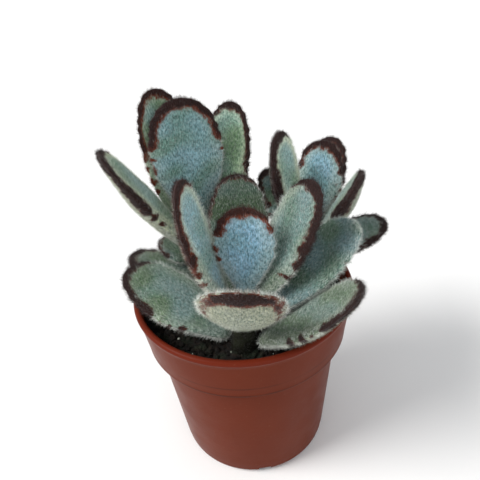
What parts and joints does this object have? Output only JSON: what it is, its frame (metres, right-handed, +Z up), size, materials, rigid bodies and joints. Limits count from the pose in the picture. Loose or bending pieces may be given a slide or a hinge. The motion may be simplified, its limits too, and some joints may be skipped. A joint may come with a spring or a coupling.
{
  "type": "potted kalanchoe",
  "caption": "Small round plastic nursery pot of soil with a felted kalanchoe: upright, spoon-shaped, grey-green leaves with brown toothed margins on short stems.",
  "frame": {"origin": "middle of the pot's flat underside", "axes": "+Z up along the pot's axis, -Y towards the plant's front, +X to the front view's right"},
  "size_m": [0.0694, 0.074, 0.093],
  "materials": {
    "pot_plastic": "satin, moulded, terracotta brown",
    "potting_soil": "damp, crumbly, near black, with pale grains",
    "stem_felt": "matt, short brown-green felt",
    "leaf_felt": "matt, dense short silvery felt over blue-green, brown toothed margins"
  },
  "bodies": {
    "root": {"pot": "pot_plastic", "soil": "potting_soil", "tall_stem": "stem_felt", "front_stem": "stem_felt", "side_stem": "stem_felt", "front_leaf_back": "leaf_felt", "front_leaf_back_right": "leaf_felt", "front_leaf_forward": "leaf_felt", "front_leaf_low_left": "leaf_felt", "front_leaf_right": "leaf_felt", "front_leaf_upper_left": "leaf_felt", "front_leaf_upper_right": "leaf_felt", "front_leaf_young": "leaf_felt", "side_leaf_back": "leaf_felt", "side_leaf_back_left": "leaf_felt", "side_leaf_front": "leaf_felt", "side_leaf_left": "leaf_felt", "side_leaf_low_back": "leaf_felt", "side_leaf_low_right": "leaf_felt", "side_leaf_right": "leaf_felt", "tall_leaf_back_left": "leaf_felt", "tall_leaf_back_right": "leaf_felt", "tall_leaf_front": "leaf_felt", "tall_leaf_left": "leaf_felt", "tall_leaf_low_back": "leaf_felt", "tall_leaf_low_left": "leaf_felt", "tall_leaf_lowest_left": "leaf_felt"}
  },
  "joints": []
}
